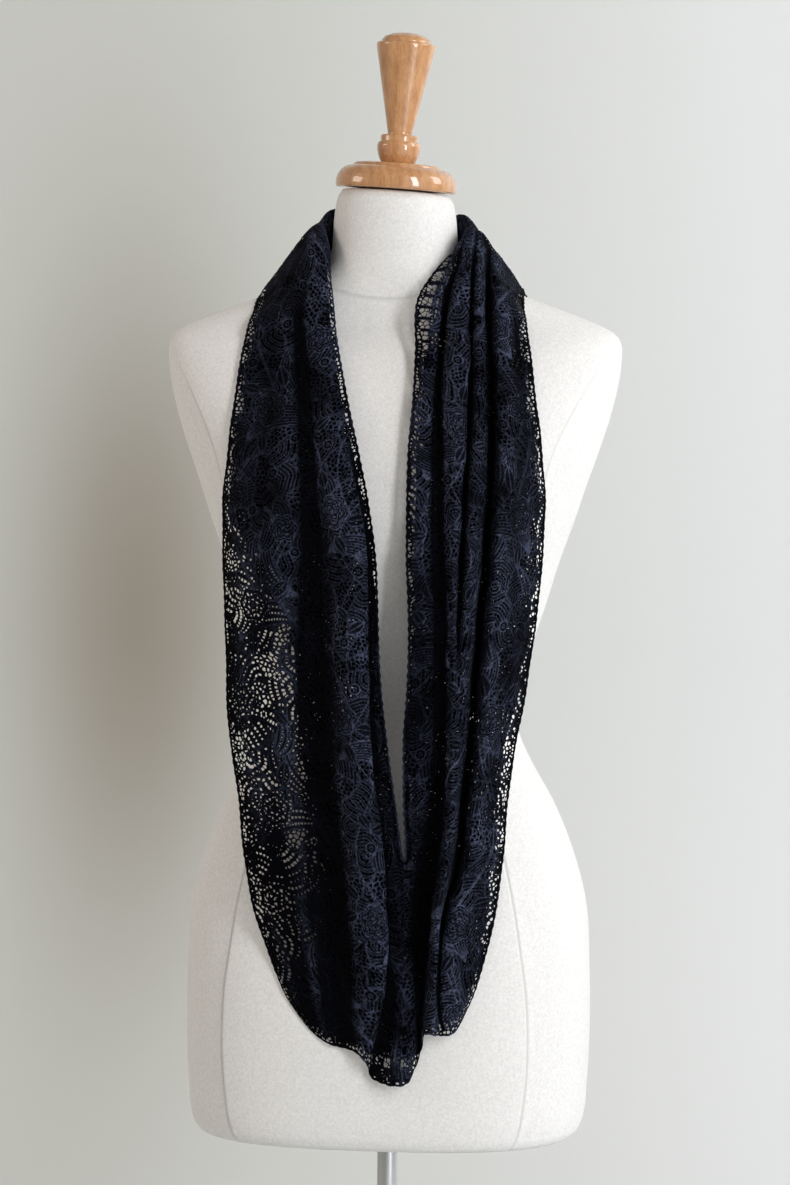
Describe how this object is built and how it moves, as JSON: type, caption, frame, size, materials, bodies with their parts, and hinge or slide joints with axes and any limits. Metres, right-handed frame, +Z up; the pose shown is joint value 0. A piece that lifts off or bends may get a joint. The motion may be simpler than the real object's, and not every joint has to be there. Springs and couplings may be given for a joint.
{
  "type": "lace loop scarf (mantilla) on a dress form",
  "caption": "Wide dark lace loop hung round the neck of a limbless dress form with a turned wood cap, on a pole and round base.",
  "frame": {"origin": "centre of the base plate's underside on the pole's axis, at floor level", "axes": "+Z up along the pole, the form faces -Y, +X is the viewer's right seen from the front"},
  "size_m": [0.4, 0.4, 1.3193],
  "materials": {
    "lace": "corded floral lace with a faint sheen on the cord",
    "jersey": "matt off-white jersey cover",
    "turned_wood": "honey coloured, varnished",
    "pole_chrome": "polished",
    "base_metal": "satin"
  },
  "bodies": {
    "root": {"scarf_left_front": "lace", "scarf_right_front": "lace", "scarf_bottom_turn": "lace", "scarf_nape": "lace", "form_torso": "jersey", "neck_cap": "turned_wood", "finial": "turned_wood", "pole": "pole_chrome", "base_plate": "base_metal"}
  },
  "joints": []
}
